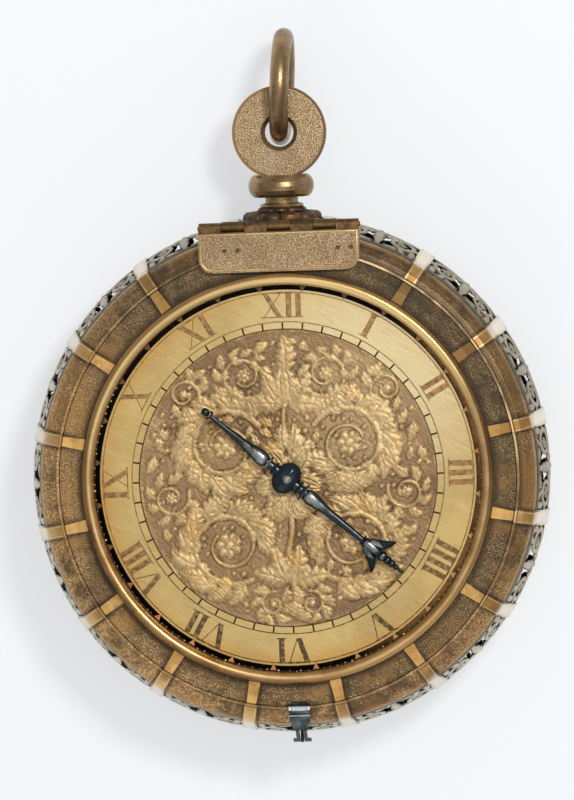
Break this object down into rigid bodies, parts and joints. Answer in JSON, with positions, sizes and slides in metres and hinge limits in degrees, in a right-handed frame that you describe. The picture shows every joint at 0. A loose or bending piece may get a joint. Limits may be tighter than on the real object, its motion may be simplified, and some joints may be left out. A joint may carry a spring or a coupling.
{
  "type": "round neck clock",
  "caption": "Round brass neck clock lying on its back: hinged bezel cover, pierced band, one steel hour hand, Roman hour ring, pendant with a loose ring, striking movement inside.",
  "frame": {"origin": "centre of the flat back face that the clock lies on", "axes": "+Z out of the dial, +Y towards twelve o'clock and the pendant, +X towards three o'clock"},
  "size_m": [0.104, 0.1428, 0.0322],
  "materials": {
    "brass": "worn gilt brass, satin",
    "dark_brass": "brown patinated brass, matted",
    "gilt_brass": "brushed pale gilt",
    "band_metal": "tarnished silvered brass",
    "bell_metal": "turned bell metal",
    "steel": "blued and polished steel"
  },
  "bodies": {
    "case": {"case_band": "band_metal", "front_rim": "brass", "back_rim": "brass", "side_ribs": "brass", "case_back": "brass", "inner_ledge": "dark_brass", "bell": "bell_metal", "bell_stud": "steel", "bell_nut": "steel", "pendant_base": "dark_brass", "pendant_stem": "brass", "pendant_nut": "steel", "pendant_eye": "brass", "case_hinge_leaf": "brass", "hinge_pin": "steel", "catch_stud": "steel", "dial_plate": "gilt_brass", "chapter_ring": "gilt_brass", "centre_relief": "dark_brass", "dial_feet": "brass", "hour_post": "steel", "front_plate": "gilt_brass", "back_plate": "gilt_brass", "plate_pillars": "brass", "pillar_pins": "steel", "ledge_screws": "steel", "spring_studs": "steel", "going_spring": "steel", "strike_spring": "steel", "crown_cocks": "brass", "balance_cock": "gilt_brass", "cock_screw": "steel"},
    "cover": {"cover_flange": "dark_brass", "cover_straps": "brass", "bezel_ring": "gilt_brass", "prong_ring": "gilt_brass", "hinge_plate": "brass", "hinge_rivets": "dark_brass", "catch_lugs": "steel", "catch_pin": "steel"},
    "catch": {"catch_lever": "steel"},
    "ring": {"pendant_ring": "dark_brass"},
    "hand": {"hour_wheel": "brass", "hour_hand": "steel"},
    "report": {"report_pinion": "steel"},
    "great": {"great_wheel": "brass", "great_arbor": "steel", "ratchet_wheel": "steel"},
    "second": {"second_wheel": "brass"},
    "contrate": {"contrate_wheel": "brass"},
    "crown": {"crown_wheel": "brass"},
    "balance": {"verge_staff": "steel", "balance_wheel": "brass"},
    "strike_great": {"strike_great_wheel": "brass"},
    "strike_second": {"strike_second_wheel": "brass"},
    "fly": {"fly": "brass"},
    "count": {"count_wheel": "brass"},
    "hammer": {"hammer": "steel"}
  },
  "joints": [
    {"name": "cover_hinge", "type": "hinge", "parent": "case", "child": "cover", "pos_m": [0, 0.0502, 0.028], "axis": [-1, 0, 0], "range_deg": [0, 115]},
    {"name": "catch_pivot", "type": "hinge", "parent": "cover", "child": "catch", "pos_m": [0.00075, -0.0453, 0.03095], "axis": [-1, 0, 0], "range_deg": [0, 60]},
    {"name": "ring_swing", "type": "hinge", "parent": "case", "child": "ring", "pos_m": [0, 0.0686, 0.0158], "axis": [0, 0, 1], "range_deg": [-121, 129]},
    {"name": "hand_turn", "type": "hinge", "parent": "case", "child": "hand", "pos_m": [0, 0, 0.0303], "axis": [0, 0, -1], "continuous": true},
    {"name": "report_turn", "type": "hinge", "parent": "case", "child": "report", "pos_m": [-0.00953, -0.0055, 0.025], "axis": [0, 0, -1], "continuous": true},
    {"name": "contrate_turn", "type": "hinge", "parent": "case", "child": "contrate", "pos_m": [-0.022, 0.01273, 0.018], "axis": [0, 0, -1], "continuous": true},
    {"name": "second_turn", "type": "hinge", "parent": "case", "child": "second", "pos_m": [-0.022, 0.0017, 0.018], "axis": [0, 0, -1], "continuous": true},
    {"name": "great_turn", "type": "hinge", "parent": "case", "child": "great", "pos_m": [-0.00953, -0.0055, 0.0126], "axis": [0, 0, -1], "continuous": true},
    {"name": "crown_turn", "type": "hinge", "parent": "case", "child": "crown", "pos_m": [-0.022, 0.01273, 0.0157], "axis": [1, 0, 0], "continuous": true},
    {"name": "balance_swing", "type": "hinge", "parent": "case", "child": "balance", "pos_m": [-0.0002, 0.01273, 0.0068], "axis": [0, 0, 1], "range_deg": [-50, 50]},
    {"name": "strike_second_turn", "type": "hinge", "parent": "case", "child": "strike_second", "pos_m": [0.0252, 0.00347, 0.018], "axis": [0, 0, -1], "continuous": true},
    {"name": "strike_great_turn", "type": "hinge", "parent": "case", "child": "strike_great", "pos_m": [0.018, -0.009, 0.0126], "axis": [0, 0, -1], "continuous": true},
    {"name": "fly_turn", "type": "hinge", "parent": "case", "child": "fly", "pos_m": [0.0198, 0.01282, 0.018], "axis": [0, 0, -1], "continuous": true},
    {"name": "count_turn", "type": "hinge", "parent": "case", "child": "count", "pos_m": [0.0139, -0.02028, 0.025], "axis": [0, 0, -1], "continuous": true},
    {"name": "hammer_lift", "type": "hinge", "parent": "case", "child": "hammer", "pos_m": [0.02227, -0.02494, 0.008], "axis": [0, 0, -1], "range_deg": [0, 18], "stiffness_Nm_per_rad": 0.0005}
  ],
  "couplings": [
    {"joint": "report_turn", "follows": "hand_turn", "ratio": -4.5},
    {"joint": "second_turn", "follows": "contrate_turn", "ratio": -0.125},
    {"joint": "great_turn", "follows": "contrate_turn", "ratio": 0.015625},
    {"joint": "crown_turn", "follows": "contrate_turn", "ratio": 8},
    {"joint": "strike_great_turn", "follows": "strike_second_turn", "ratio": -0.14286},
    {"joint": "fly_turn", "follows": "strike_second_turn", "ratio": -8},
    {"joint": "count_turn", "follows": "strike_second_turn", "ratio": 0.028571}
  ]
}
